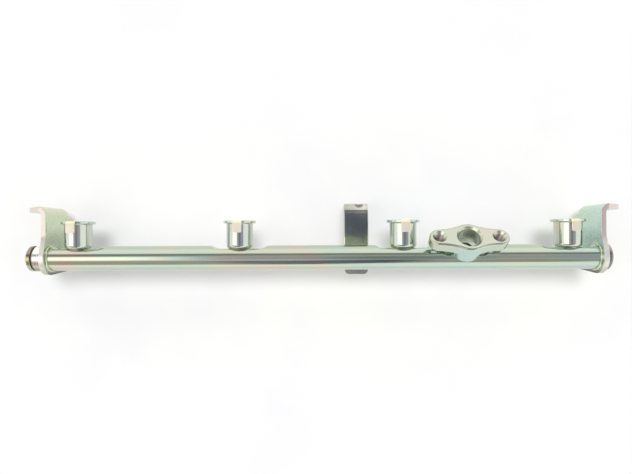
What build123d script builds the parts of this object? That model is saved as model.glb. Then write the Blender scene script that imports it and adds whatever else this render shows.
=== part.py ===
"""Low-pressure fuel rail for a four-cylinder petrol engine.

A round steel tube closed at both ends carries four drawn cups that take the tops of
the injectors, a two-bolt flange where the fuel comes in, an L-shaped mounting bracket
at each end and a light clip bracket behind the middle.  The pieces are brazed together
and zinc plated.  One end has a threaded boss closed by a screw plug on a sealing ring,
the other a plain turned cap.

Working frame of the functions below: X along the tube, Y the way the cups open,
Z towards the open side of the tube, origin on the tube's axis half way along it.
At export everything moves to the part's own frame: the rail lies on the rear edges of
its two end plates, and the origin is the middle of the box on that surface.
"""
from build123d import *
import math
import os

# ---------------------------------------------------------------- rail tube
TUBE_OD = 12.7
TUBE_WALL = 1.2
PLATE_GAP = 280.0           # between the inner faces of the end plates

# ---------------------------------------------------------------- injector cups
CUP_COUNT = 4
CUP_PITCH = 84.0
CUP_BORE = 11.0             # takes the injector's top O-ring
CUP_WALL = 1.3
CUP_HEIGHT = 14.3           # seat to rim
CUP_FLOOR = 1.4
CUP_CORNER = 2.0            # drawn radius round the closed end
LIP_REACH = 1.55            # how far the rim stands out from the wall
LIP_RIM = 1.3               # thickness of the flat rim
LIP_EDGE = 0.9              # rim's flat, between the lead-in and the outside
LIP_ROOT = 0.7              # radius under the rim
FEED_BORE = 4.0
TAB_WIDTH = 4.4             # locating tab folded down from the rim
TAB_DROP = 6.1
TAB_SHEET = 1.1
TAB_GAP = 0.15              # between the rim and the folded tab
TAB_BEND = 1.8              # outer radius of the tab's fold
TAB_CORNER = 0.9            # its two free corners
SEAT_DEPTH = 1.6            # how deep the flat under a cup is pressed
SEAT_MARGIN = 4.5           # flat beyond the cup on its free side
SEAT_RAMP = 5.0             # run-out of the flat to the full tube
END_RAMP = 2.6              # run-out at an end plate, where room is short
RAMP_ROUND = 6.0

# ---------------------------------------------------------------- inlet flange
INLET_X = 72.5
INLET_TURN = 51.5           # from +Y towards +Z, degrees
INLET_RISE = 10.65          # machined face above the tube's surface
INLET_THICK = 6.3
INLET_WIDTH = 16.4          # across the middle
INLET_BOLTS = 29.0          # spacing of the two M5 holes
INLET_EAR = 4.9             # radius round each M5 hole
INLET_WAIST = 30.0          # radius of the hollow between the middle and an ear
INLET_BOSS = 14.2           # at the tube; it swells to the flange's width above
INLET_SEAT_DEPTH = 0.85     # how deep the flat under the boss is pressed
INLET_MARGIN = 2.2          # flat beyond the boss
INLET_RAMP = 2.5
INLET_BORE = 10.5
INLET_BORE_DEPTH = 8.6
INLET_CHAMFER = 1.0
INLET_FEED = 6.5
INLET_EDGE = 1.1
M5_DRILL = 4.2
M5_CHAMFER = 1.35

# ---------------------------------------------------------------- end brackets
PLATE_SHEET = 2.7
PLATE_FRONT = 5.5           # straight front edge, from the tube's axis along Z
PLATE_REAR = 26.0           # rear edge, which the rail lies on
PLATE_TAIL = 7.0            # lower rear corner, below the axis
PLATE_SHOULDER = 11.0       # where the front edge starts to swell round the tube
LOBE_WALL = 2.25            # sheet left round the front of the tube's hole
SHOULDER_ROUND = 9.0
TAIL_ROUND = 4.0
BEND_OUTER = 4.4
FOOT_FACE = 26.8            # seat face of the foot, from the tube's axis along Y
FOOT_REAR = 17.4            # the foot is narrower than the plate
FOOT_TIP = 2.4              # front corner, from the plate's outer face
FOOT_TIP_ROUND = 1.5
EAR_RADIUS = 7.4
EAR_REACH = 6.2             # hole centre, from the plate's outer face
FOOT_HOLE = 6.6             # clearance for M6

# ---------------------------------------------------------------- clip bracket
CLIP_X = 18.4
CLIP_WIDTH = 12.6
CLIP_SHEET = 2.0
CLIP_TOP = 28.3
CLIP_TAIL = 9.3
CLIP_BEND = 5.5
CLIP_FOOT = 16.0            # front face of the strip to the foot's free edge
CLIP_ROUND = 2.5
CLIP_HOLE = 5.5
CLIP_HOLE_MARGIN = 6.0      # hole centre, from the foot's free edge
DART_OFFSET = 1.6           # stiffening dart pressed into the bend
DART_RADIUS = 2.7
DART_DEPTH = 1.1
DART_WALL = 1.5
DART_TURN = 62.0

# ---------------------------------------------------------------- closed ends
BOSS_STEP = 0.3             # how far the boss stands proud of the tube
BOSS_LENGTH = 4.5
BOSS_COLLAR_STEP = 0.65     # the collar against the plate, proud of the tube
BOSS_COLLAR_LENGTH = 1.6
SPIGOT_SHORT = 0.1          # a spigot ends this far inside the plate's thickness
PLUG_THREAD = 7.35          # mean diameter of M8 x 1
PLUG_HEAD = 13.2
PLUG_HEAD_THICK = 2.4
PLUG_EDGE = 0.7
PLUG_HEX = 4.0              # across the flats of the key socket
PLUG_HEX_DEPTH = 1.9
PLUG_REACH = 5.0            # shank below the sealing ring
RING_OD = 12.0
RING_THICK = 1.0
CAP_STEP = 0.7              # how far the cap stands proud of the tube
CAP_LENGTH = 3.0
CAP_EDGE = 1.4
CAP_BACK_EDGE = 0.35

# ---------------------------------------------------------------- worked out
TUBE_R = TUBE_OD / 2
TUBE_BORE_R = TUBE_R - TUBE_WALL
SEAT_LEVEL = TUBE_R - SEAT_DEPTH
CUP_R = CUP_BORE / 2 + CUP_WALL
LIP_R = CUP_R + LIP_REACH
HALF_GAP = PLATE_GAP / 2
TUBE_END = HALF_GAP + PLATE_SHEET
CUP_X = [(i - (CUP_COUNT - 1) / 2) * CUP_PITCH for i in range(CUP_COUNT)]
INLET_SEAT = TUBE_R - INLET_SEAT_DEPTH
INLET_FACE = TUBE_R + INLET_RISE
INLET_UNDER = INLET_FACE - INLET_THICK
LOBE_RADIUS = TUBE_R + LOBE_WALL
REAR_ROUND = PLATE_REAR - FOOT_REAR
SPIGOT_LENGTH = PLATE_SHEET - SPIGOT_SHORT
TOP_Y = max(CLIP_TOP, FOOT_FACE)
BOTTOM_Y = -max(CLIP_TAIL, LOBE_RADIUS, PLATE_TAIL)
AXIS_Y = -(TOP_Y + BOTTOM_Y) / 2
AXIS_Z = PLATE_REAR


def cylinder_x(radius, start, stop):
    """A round bar along X between two stations."""
    bar = Cylinder(radius, stop - start, align=(Align.CENTER, Align.CENTER, Align.MIN))
    return Pos(start, 0, 0) * Rot(0, 90, 0) * bar


def flat_cutter(start, stop, ramp_in, ramp_out, level):
    """What a press tool takes off the +Y side of the tube: a flat with a run-out each end."""
    crest = TUBE_R + 1.0
    rise = crest - level
    slope = rise / SEAT_DEPTH
    corners = [
        (start - ramp_in * slope, crest),
        (start, level),
        (stop, level),
        (stop + ramp_out * slope, crest),
    ]
    face = make_face(Polyline(*corners, close=True))
    low = face.vertices().sort_by(Axis.Y)[:2]
    face = fillet(low, RAMP_ROUND)
    return extrude(face, TUBE_OD, both=True)


def cup_flat(x, level):
    """The flat under one cup; beside an end plate it runs almost up to the plate."""
    spans = []
    for side in (-1, 1):
        room = HALF_GAP - side * x - CUP_R
        if room < SEAT_MARGIN + SEAT_RAMP:
            spans.append((room - END_RAMP, END_RAMP))
        else:
            spans.append((SEAT_MARGIN, SEAT_RAMP))
    (left, ramp_left), (right, ramp_right) = spans
    return flat_cutter(x - CUP_R - left, x + CUP_R + right, ramp_left, ramp_right, level)


def inlet_flat(level):
    """The flat under the inlet boss, turned to face the flange."""
    half = INLET_BOSS / 2 + INLET_MARGIN
    cutter = flat_cutter(INLET_X - half, INLET_X + half, INLET_RAMP, INLET_RAMP, level)
    return Rot(INLET_TURN, 0, 0) * cutter


def feed_drill(x, radius, turn):
    """A drill through the tube's wall on one side, turned from +Y towards +Z."""
    drill = Cylinder(radius, TUBE_OD, align=(Align.CENTER, Align.CENTER, Align.MIN))
    return Rot(turn, 0, 0) * Pos(x, 0, 0) * Rot(-90, 0, 0) * drill


def rail_tube():
    """Drawn tube with pressed flats under the cups and the inlet, and its feed holes."""
    outer = cylinder_x(TUBE_R, -TUBE_END, TUBE_END)
    inner = cylinder_x(TUBE_BORE_R, -TUBE_END, TUBE_END)
    for x in CUP_X:
        outer -= cup_flat(x, SEAT_LEVEL)
        inner -= cup_flat(x, SEAT_LEVEL - TUBE_WALL)
    outer -= inlet_flat(INLET_SEAT)
    inner -= inlet_flat(INLET_SEAT - TUBE_WALL)
    tube = outer - inner
    for x in CUP_X:
        tube -= feed_drill(x, FEED_BORE / 2, 0)
    return tube - feed_drill(INLET_X, INLET_FEED / 2, INLET_TURN)


def cup_tab():
    """Locating tab: a tongue of the rim bent outwards and folded down, drawn in Y and Z."""
    outer = LIP_R + TAB_GAP + TAB_SHEET
    start = LIP_R - TAB_SHEET
    top = CUP_HEIGHT
    low = top - TAB_DROP
    inner_bend = TAB_BEND - TAB_SHEET
    centre = (outer - TAB_BEND, top - TAB_BEND)
    diagonal = math.sqrt(0.5)
    upper = Line((start, top), (centre[0], top))
    fold = ThreePointArc(
        (centre[0], top),
        (centre[0] + TAB_BEND * diagonal, centre[1] + TAB_BEND * diagonal),
        (outer, centre[1]),
    )
    side = Line((outer, centre[1]), (outer, low))
    end = Line((outer, low), (outer - TAB_SHEET, low))
    back = Line((outer - TAB_SHEET, low), (outer - TAB_SHEET, centre[1]))
    inner_fold = ThreePointArc(
        (outer - TAB_SHEET, centre[1]),
        (centre[0] + inner_bend * diagonal, centre[1] + inner_bend * diagonal),
        (centre[0], top - TAB_SHEET),
    )
    under = Line((centre[0], top - TAB_SHEET), (start, top - TAB_SHEET))
    close = Line((start, top - TAB_SHEET), (start, top))
    section = make_face([upper, fold, side, end, back, inner_fold, under, close])
    tab = extrude(Plane.YZ * section, TAB_WIDTH / 2, both=True)
    corners = tab.edges().filter_by(Axis.Y).group_by(Axis.Z)[0]
    return fillet(corners, TAB_CORNER)


def injector_cup():
    """One drawn cup standing on Z with its closed end at the origin, tab towards +Y."""
    rim_in = LIP_R - LIP_EDGE
    lead = rim_in - CUP_BORE / 2
    wall_top = CUP_HEIGHT - LIP_RIM
    shell = Polyline(
        (0, 0),
        (CUP_R, 0),
        (CUP_R, wall_top),
        (LIP_R, wall_top),
        (LIP_R, CUP_HEIGHT),
        (rim_in, CUP_HEIGHT),
        (CUP_BORE / 2, CUP_HEIGHT - lead),
        (CUP_BORE / 2, CUP_FLOOR),
        (0, CUP_FLOOR),
        close=True,
    )
    section = make_face(shell)
    section = fillet(vertex_at(section, CUP_R, 0), CUP_CORNER)
    section = fillet(vertex_at(section, CUP_R, wall_top), LIP_ROOT)
    section = chamfer(vertex_at(section, LIP_R, CUP_HEIGHT), LIP_RIM * 0.25)
    cup = revolve(Plane.XZ * section, Axis.Z)
    cup -= Cylinder(FEED_BORE / 2, CUP_HEIGHT)
    return cup + cup_tab()


def vertex_at(face, x, y):
    """The corner of a flat section that lies at one point, as a list."""
    return [v for v in face.vertices() if math.hypot(v.X - x, v.Y - y) < 0.01]


def place_cup(cup, x):
    """Stand a cup on its flat, mouth towards +Y and tab towards +Z."""
    return Pos(x, SEAT_LEVEL, 0) * Rot(-90, 0, 0) * Rot(0, 0, 180) * cup


def waist_centre():
    """Centre of the hollow that touches the flange's middle and one ear."""
    half = INLET_BOLTS / 2
    middle = INLET_WIDTH / 2
    to_middle = middle + INLET_WAIST
    to_ear = INLET_EAR + INLET_WAIST
    across = (to_middle**2 - to_ear**2 + half**2) / (2 * half)
    return across, math.sqrt(to_middle**2 - across**2)


def flange_outline():
    """The flange's outline: a round middle, two ears and a hollow between each pair."""
    half = INLET_BOLTS / 2
    across, up = waist_centre()
    share = 1 - INLET_WAIST / (INLET_WIDTH / 2 + INLET_WAIST)
    on_middle = (across * share, up * share)
    share = 1 - INLET_WAIST / (INLET_EAR + INLET_WAIST)
    on_ear = (half + (across - half) * share, up * share)
    outline = Circle(INLET_WIDTH / 2)
    for side in (-1, 1):
        corners = [on_middle, on_ear, (on_ear[0], -on_ear[1]), (on_middle[0], -on_middle[1])]
        outline += make_face(Polyline(*[(side * x, y) for x, y in corners], close=True))
        outline += Pos(side * half, 0) * Circle(INLET_EAR)
        for edge in (-1, 1):
            outline -= Pos(side * across, edge * up) * Circle(INLET_WAIST)
    return outline


def inlet_boss():
    """The flange's round boss, which swells from the tube up to the flange's own width."""
    under = INLET_UNDER + INLET_THICK / 2
    profile = make_face(Polyline(
        (0, INLET_SEAT),
        (INLET_BOSS / 2, INLET_SEAT),
        (INLET_WIDTH / 2, INLET_UNDER),
        (INLET_WIDTH / 2, under),
        (0, under),
        close=True,
    ))
    profile = fillet(vertex_at(profile, INLET_WIDTH / 2, INLET_UNDER), INLET_EDGE)
    return revolve(Plane.XZ * profile, Axis.Z)


def inlet_flange():
    """Forged two-bolt flange on a round boss, machined on top, standing on Z."""
    plate = Pos(0, 0, INLET_UNDER) * extrude(flange_outline(), INLET_THICK)
    rims = plate.edges().group_by(Axis.Z)
    plate = fillet(rims[0] + rims[-1], INLET_EDGE)
    body = plate + inlet_boss()
    body -= drilled(0, INLET_BORE / 2, INLET_BORE_DEPTH, INLET_CHAMFER)
    body -= Cylinder(INLET_FEED / 2, INLET_FACE, align=(Align.CENTER, Align.CENTER, Align.MIN))
    for side in (-1, 1):
        body -= drilled(side * INLET_BOLTS / 2, M5_DRILL / 2, INLET_THICK, M5_CHAMFER)
    return body


def drilled(x, radius, depth, chamfer_size):
    """A drilled hole with a countersunk mouth in the machined face."""
    hole = Pos(x, 0, INLET_FACE - depth) * Cylinder(
        radius, depth, align=(Align.CENTER, Align.CENTER, Align.MIN)
    )
    mouth = Pos(x, 0, INLET_FACE - chamfer_size) * Cone(
        radius, radius + chamfer_size, chamfer_size, align=(Align.CENTER, Align.CENTER, Align.MIN)
    )
    return hole + mouth


def end_plate():
    """The upright plate of an end bracket, drawn in Y and Z and LOBE_RADIUS round the tube."""
    bend_line = FOOT_FACE - BEND_OUTER
    lobe = Circle(LOBE_RADIUS)
    depth = PLATE_REAR + PLATE_FRONT
    middle = (PLATE_FRONT - PLATE_REAR) / 2
    lower = Pos((PLATE_SHOULDER - PLATE_TAIL) / 2, middle) * Rectangle(
        PLATE_SHOULDER + PLATE_TAIL, depth
    )
    skirt = make_face(make_hull((lobe + lower).edges()))
    upper = Pos(bend_line / 2, middle) * Rectangle(bend_line, depth)
    outline = skirt + upper
    outline = fillet(vertex_at(outline, bend_line, -PLATE_REAR), REAR_ROUND)
    outline = fillet(vertex_at(outline, -PLATE_TAIL, -PLATE_REAR), TAIL_ROUND)
    outline = fillet(vertex_at(outline, PLATE_SHOULDER, PLATE_FRONT), SHOULDER_ROUND)
    return Pos(HALF_GAP, 0, 0) * extrude(Plane.YZ * outline, PLATE_SHEET)


def end_foot():
    """The bend and the foot of an end bracket, turned outwards at the top of the plate."""
    width = PLATE_FRONT + FOOT_REAR
    bend_line = FOOT_FACE - BEND_OUTER
    axis = Pos(HALF_GAP + BEND_OUTER, bend_line, -FOOT_REAR)
    ring = extrude(Circle(BEND_OUTER) - Circle(BEND_OUTER - PLATE_SHEET), width)
    quarter = Box(
        BEND_OUTER, BEND_OUTER, width, align=(Align.MAX, Align.MIN, Align.MIN)
    )
    bend = axis * (ring & quarter)
    tip = PLATE_SHEET + FOOT_TIP
    hole_at = (PLATE_SHEET + EAR_REACH, -FOOT_REAR + EAR_RADIUS)
    root = Pos(BEND_OUTER / 2, (PLATE_FRONT - FOOT_REAR) / 2) * Rectangle(BEND_OUTER, width)
    corner = Pos(tip - FOOT_TIP_ROUND, PLATE_FRONT - FOOT_TIP_ROUND) * Circle(FOOT_TIP_ROUND)
    ear = Pos(*hole_at) * Circle(EAR_RADIUS)
    outline = make_face(make_hull((root + corner + ear).edges()))
    outline -= Pos(BEND_OUTER / 2, (PLATE_FRONT - FOOT_REAR) / 2) * Rectangle(BEND_OUTER, 2 * width)
    outline -= Pos(*hole_at) * Circle(FOOT_HOLE / 2)
    flat = extrude(outline, PLATE_SHEET)
    return bend + Pos(HALF_GAP, FOOT_FACE, 0) * Rot(90, 0, 0) * flat


def end_bracket():
    """The bracket at the +X end: plate, bend and foot from one sheet, with the tube's hole."""
    bracket = end_plate() + end_foot()
    return bracket - cylinder_x(TUBE_R, HALF_GAP, TUBE_END)


def clip_bracket():
    """Strip brazed behind the tube, bent back at the top to a foot with a clip hole."""
    front = -TUBE_R
    bend_line = CLIP_TOP - CLIP_BEND
    length = CLIP_TAIL + bend_line
    face = Pos(0, (bend_line - CLIP_TAIL) / 2) * Rectangle(CLIP_WIDTH, length)
    low = face.vertices().group_by(Axis.Y)[0]
    strip = Pos(0, 0, front - CLIP_SHEET) * extrude(fillet(low, CLIP_ROUND), CLIP_SHEET)
    axis = Pos(0, bend_line, front - CLIP_BEND)
    roll = axis * Rot(0, 90, 0)
    sector = Box(CLIP_WIDTH, CLIP_BEND, CLIP_BEND, align=(Align.CENTER, Align.MIN, Align.MIN))
    solid_bend = roll * Cylinder(CLIP_BEND, CLIP_WIDTH)
    hollow_bend = roll * Cylinder(CLIP_BEND - CLIP_SHEET, CLIP_WIDTH)
    bend = (solid_bend - hollow_bend) & (axis * sector)
    foot_flat = CLIP_FOOT - CLIP_BEND
    foot = Pos(0, -foot_flat / 2) * Rectangle(CLIP_WIDTH, foot_flat)
    rear = foot.vertices().group_by(Axis.Y)[0]
    foot = fillet(rear, CLIP_ROUND)
    foot -= Pos(0, -foot_flat + CLIP_HOLE_MARGIN) * Circle(CLIP_HOLE / 2)
    ledge = Pos(0, CLIP_TOP, front - CLIP_BEND) * Rot(90, 0, 0) * extrude(foot, CLIP_SHEET)
    bracket = strip + bend + ledge
    reach = CLIP_BEND + DART_RADIUS - DART_DEPTH
    turn = math.radians(DART_TURN)
    dart = axis * Pos(DART_OFFSET, reach * math.sin(turn), reach * math.cos(turn))
    bulge = (dart * Sphere(DART_RADIUS + DART_WALL)) & solid_bend & (axis * sector)
    bracket = bracket + bulge - dart * Sphere(DART_RADIUS)
    return Pos(CLIP_X, 0, 0) * bracket


def end_boss():
    """Turned boss on the tube's -X mouth, its thread open outwards."""
    seat = -TUBE_END
    boss = cylinder_x(TUBE_R + BOSS_STEP, seat - BOSS_LENGTH, seat)
    boss += cylinder_x(TUBE_R + BOSS_COLLAR_STEP, seat - BOSS_COLLAR_LENGTH, seat)
    spigot = cylinder_x(TUBE_BORE_R, seat, seat + SPIGOT_LENGTH)
    bore = cylinder_x(PLUG_THREAD / 2, seat - BOSS_LENGTH, seat + SPIGOT_LENGTH)
    return boss + spigot - bore


def sealing_ring():
    """Soft metal sealing ring between the boss and the plug's head."""
    seat = -TUBE_END - BOSS_LENGTH
    ring = cylinder_x(RING_OD / 2, seat - RING_THICK, seat)
    return ring - cylinder_x(PLUG_THREAD / 2, seat - RING_THICK, seat)


def screw_plug():
    """Screw plug with a collar and a key socket."""
    under = -TUBE_END - BOSS_LENGTH - RING_THICK
    head = cylinder_x(PLUG_HEAD / 2, under - PLUG_HEAD_THICK, under)
    head = chamfer(head.edges().group_by(Axis.X)[0], PLUG_EDGE)
    shank = cylinder_x(PLUG_THREAD / 2, under, under + PLUG_REACH)
    shank = chamfer(shank.edges().group_by(Axis.X)[-1], PLUG_EDGE)
    hexagon = extrude(RegularPolygon(PLUG_HEX / 2, 6, major_radius=False), PLUG_HEX_DEPTH)
    socket = Pos(under - PLUG_HEAD_THICK, 0, 0) * Rot(0, 90, 0) * hexagon
    return head + shank - socket


def end_cap():
    """Turned cap that closes the tube's +X mouth."""
    head = cylinder_x(TUBE_R + CAP_STEP, TUBE_END, TUBE_END + CAP_LENGTH)
    head = fillet(head.edges().group_by(Axis.X)[-1], CAP_EDGE)
    head = chamfer(head.edges().group_by(Axis.X)[0], CAP_BACK_EDGE)
    return head + cylinder_x(TUBE_BORE_R, TUBE_END - SPIGOT_LENGTH, TUBE_END)


def build():
    """Every piece of the rail by node name, in the part's own frame."""
    cup = injector_cup()
    right = end_bracket()
    pieces = {
        "rail_tube": rail_tube(),
        "end_bracket_right": right,
        "end_bracket_left": mirror(right, about=Plane.YZ),
        "clip_bracket": clip_bracket(),
        "inlet_flange": Pos(INLET_X, 0, 0) * Rot(INLET_TURN - 90, 0, 0) * inlet_flange(),
        "end_boss": end_boss(),
        "sealing_ring": sealing_ring(),
        "screw_plug": screw_plug(),
        "end_cap": end_cap(),
    }
    for number, x in enumerate(CUP_X, 1):
        pieces[f"injector_cup_{number}"] = place_cup(cup, x)
    return {name: Pos(0, AXIS_Y, AXIS_Z) * piece for name, piece in pieces.items()}


def main():
    """Write one STEP file for each node."""
    os.makedirs("parts", exist_ok=True)
    for name, piece in build().items():
        export_step(piece, f"parts/{name}.step")
        print(f"{name}: {piece.volume:.1f} mm3")


if __name__ == "__main__":
    main()
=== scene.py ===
import logging
import math
from dataclasses import asdict, dataclass
from enum import Enum
from functools import cache, partial
from typing import Callable, Mapping, Sequence

import bmesh
import bpy
import numpy as np
from mathutils import Matrix, Vector


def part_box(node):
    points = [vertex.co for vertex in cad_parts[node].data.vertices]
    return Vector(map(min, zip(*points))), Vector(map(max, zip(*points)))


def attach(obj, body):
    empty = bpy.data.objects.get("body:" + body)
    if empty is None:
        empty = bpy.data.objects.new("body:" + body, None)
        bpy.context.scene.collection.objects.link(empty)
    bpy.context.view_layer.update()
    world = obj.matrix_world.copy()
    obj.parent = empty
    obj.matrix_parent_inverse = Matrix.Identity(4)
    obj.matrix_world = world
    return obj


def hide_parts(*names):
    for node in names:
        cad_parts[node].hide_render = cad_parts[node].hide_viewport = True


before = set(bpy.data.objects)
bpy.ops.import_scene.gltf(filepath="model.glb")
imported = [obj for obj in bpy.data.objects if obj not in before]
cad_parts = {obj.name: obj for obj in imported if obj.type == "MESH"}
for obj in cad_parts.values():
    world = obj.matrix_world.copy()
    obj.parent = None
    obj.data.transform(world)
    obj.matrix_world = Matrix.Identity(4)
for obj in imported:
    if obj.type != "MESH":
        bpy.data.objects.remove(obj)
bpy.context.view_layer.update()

MM = 0.001
BODY = "root"
CREASE = 38.0              # degrees; sharper edges stay sharp
LOG = logging.getLogger("fuel_rail")

# Sizes that more than one sub-assembly is made to.
TUBE_RADIUS = 6.35
TUBE_END = 142.7           # half the tube's length
TUBE_WALL = 1.2
BRACKET_GAP = 140.0        # from the middle to a bracket's inner face
CUP_SEAT = 4.75            # from the axis to the flat under a cup
CUP_FEED = 4.0
INLET_X = 72.5
INLET_TURN = 51.5          # degrees from +Y towards +Z
INLET_SEAT = 5.5
INLET_FEED = 6.5

Point = tuple[float, float]
Corner = tuple[float, ...]  # two coordinates, and a radius where the corner is round
Piece = bpy.types.Object
Node = bpy.types.Node
NodeTree = bpy.types.NodeTree
Adder = Callable[..., Node]
Sockets = Mapping[str, bpy.types.NodeSocket]
Rule = Callable[[Adder, Sockets], Node]
Row = np.ndarray           # one coordinate of every point
MATH, VECTOR_MATH = "ShaderNodeMath", "ShaderNodeVectorMath"
NOISE, MAP_RANGE = "ShaderNodeTexNoise", "ShaderNodeMapRange"


# -------- where the tube lies
@dataclass(frozen=True)
class RailFrame:
    """The tube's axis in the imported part's frame, in millimetres."""

    axis_y: float
    axis_z: float

    @classmethod
    def measured(cls) -> "RailFrame":
        """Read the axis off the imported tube."""
        low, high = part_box("rail_tube")
        return cls((low.y + high.y) / 2 / MM, (low.z + high.z) / 2 / MM)

    def to_part(self) -> Matrix:
        """Matrix from rail millimetres to the part's metres."""
        return Matrix.Scale(MM, 4) @ Matrix.Translation((0, self.axis_y, self.axis_z))


RAIL = RailFrame.measured()


def turned_up(x: float, turn: float) -> Matrix:
    """Stand a piece made along X on the tube.

    Args:
        x: Its station.
        turn: Degrees from +Y towards +Z that its axis points.

    Returns:
        The matrix from the piece's frame to the rail's; with no turn, Z stays Z.
    """
    upright = Matrix(((0, -1, 0, 0), (1, 0, 0, 0), (0, 0, 1, 0), (0, 0, 0, 1)))
    return Matrix.Translation((x, 0, 0)) @ Matrix.Rotation(math.radians(turn), 4, "X") @ upright


# -------- node trees
def add_node(tree: NodeTree, kind: str, inputs: Sequence[object] | Mapping[object, object] = (),
             operation: str = "", **settings: object) -> Node:
    """Add a node with its settings, values and links.

    Args:
        tree: The node tree that takes the node.
        kind: The node's type name.
        inputs: Values by place, or by socket name or number.  A node stands for its first
            output, a socket is linked, None is left as it is and the rest is a plain value.
        operation: What a maths node works out.
        settings: The node's other properties.

    Returns:
        The new node.
    """
    node = tree.nodes.new(kind)
    if operation:
        node.operation = operation
    for key, value in settings.items():
        setattr(node, key, value)
    pairs = inputs.items() if isinstance(inputs, Mapping) else enumerate(inputs)
    for key, value in pairs:
        if isinstance(value, Node):
            value = value.outputs[0]
        if isinstance(value, bpy.types.NodeSocket):
            tree.links.new(value, node.inputs[key])
        elif value is not None:
            node.inputs[key].default_value = value
    return node


def cleared(owner: bpy.types.Material | bpy.types.World) -> Adder:
    """Empty a material's or the world's node tree.

    Args:
        owner: The material or the world.

    Returns:
        What adds nodes to its tree.
    """
    owner.use_nodes = True
    owner.node_tree.nodes.clear()
    return partial(add_node, owner.node_tree)


def linear(hex_colour: str) -> tuple[float, float, float, float]:
    """Turn an sRGB colour into the linear values of a shader.

    Args:
        hex_colour: Six digits after a #.

    Returns:
        Red, green, blue and a full alpha.
    """
    parts = [int(hex_colour[i:i + 2], 16) / 255 for i in (1, 3, 5)]
    red, green, blue = (
        p / 12.92 if p <= 0.04045 else ((p + 0.055) / 1.055) ** 2.4 for p in parts
    )
    return red, green, blue, 1.0


# -------- meshes
class Fit(Enum):
    """How a second solid changes the first."""

    JOIN = "UNION"
    CUT = "DIFFERENCE"


def link(name: str, data: bpy.types.ID) -> Piece:
    """Put data in the scene as an object.

    Args:
        name: The object's name.
        data: A mesh, curve, lamp or camera.

    Returns:
        The object.
    """
    thing = bpy.data.objects.new(name, data)
    bpy.context.scene.collection.objects.link(thing)
    return thing


def baked(thing: Piece) -> Piece:
    """Replace an object by one of its name with its finished mesh and no modifiers.

    Args:
        thing: The object, which is removed.

    Returns:
        The new object.
    """
    bpy.context.view_layer.update()
    graph = bpy.context.evaluated_depsgraph_get()
    mesh = bpy.data.meshes.new_from_object(thing.evaluated_get(graph), depsgraph=graph)
    name = thing.name
    bpy.data.objects.remove(thing)
    return link(name, mesh)


def reworked(thing: Piece, work: Callable[[bmesh.types.BMesh], None]) -> Piece:
    """Edit an object's mesh in place.

    Args:
        thing: The object.
        work: What is done to the mesh.

    Returns:
        The same object.
    """
    mesh = bmesh.new()
    mesh.from_mesh(thing.data)
    work(mesh)
    mesh.to_mesh(thing.data)
    mesh.free()
    thing.data.update()
    return thing


def cleaned(thing: Piece, gap: float = 1e-4) -> Piece:
    """Merge an object's close points and turn its faces outwards.

    Args:
        thing: The object.
        gap: How close they lie.

    Returns:
        The same object.
    """

    def work(mesh: bmesh.types.BMesh) -> None:
        """Merge, drop flat faces and recalculate.

        Args:
            mesh: The open mesh.
        """
        bmesh.ops.remove_doubles(mesh, verts=mesh.verts, dist=gap)
        bmesh.ops.dissolve_degenerate(mesh, edges=mesh.edges, dist=gap / 10)
        bmesh.ops.recalc_face_normals(mesh, faces=mesh.faces)

    return reworked(thing, work)


def bent(thing: Piece, rule: Callable[[Row, Row, Row], Sequence[Row]]) -> Piece:
    """Move every point of an object's mesh.

    Args:
        thing: The object.
        rule: Takes the points' X, Y and Z and returns them moved.

    Returns:
        The same object.
    """
    points = np.empty(len(thing.data.vertices) * 3)
    thing.data.vertices.foreach_get("co", points)
    moved = np.stack(rule(*points.reshape(-1, 3).T), axis=1)
    thing.data.vertices.foreach_set("co", moved.ravel())
    thing.data.update()
    return thing


def fitted(body: Piece, other: Piece, fit: Fit) -> Piece:
    """Join a second solid to a first, or cut it away.

    Args:
        body: The solid that stays.
        other: The second solid, which is removed.
        fit: Whether it is joined or cut.

    Returns:
        The changed solid.
    """
    change = body.modifiers.new("fit", "BOOLEAN")
    change.operation = fit.value
    change.solver = "EXACT"
    change.object = other
    body = baked(body)
    bpy.data.objects.remove(other)
    return body


def arc(centre: Point, radius: float, start: float, stop: float, step: float = 7.5) -> list[Point]:
    """Points along an arc, both ends included.

    Args:
        centre: The arc's centre.
        radius: Its radius.
        start: Its first angle in degrees.
        stop: Its last angle in degrees.
        step: About how many degrees a facet turns.

    Returns:
        The points.
    """
    count = max(2, math.ceil(abs(stop - start) / step) + 1)
    angles = np.radians(np.linspace(start, stop, count))
    return [(centre[0] + radius * math.cos(a), centre[1] + radius * math.sin(a)) for a in angles]


def rounded(corners: Sequence[Corner], step: float = 11.0) -> list[Point]:
    """Straight runs joined by round corners.

    Args:
        corners: The corners in order.
        step: About how many degrees a facet turns.

    Returns:
        The outline's points in order.
    """
    made: list[Point] = []
    for i, (x, y, *radii) in enumerate(corners):
        if not radii:
            made.append((x, y))
            continue
        radius, here = radii[0], Vector((x, y))
        before = (Vector(corners[i - 1][:2]) - here).normalized()
        after = (Vector(corners[(i + 1) % len(corners)][:2]) - here).normalized()
        half = before.angle(after) / 2
        centre = here + (before + after).normalized() * radius / math.sin(half)
        first = here + before * radius / math.tan(half) - centre
        last = here + after * radius / math.tan(half) - centre
        start = math.degrees(math.atan2(first.y, first.x))
        turn = (math.degrees(math.atan2(last.y, last.x)) - start + 180) % 360 - 180
        made += arc((centre.x, centre.y), radius, start, start + turn, step)
    return made


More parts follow.
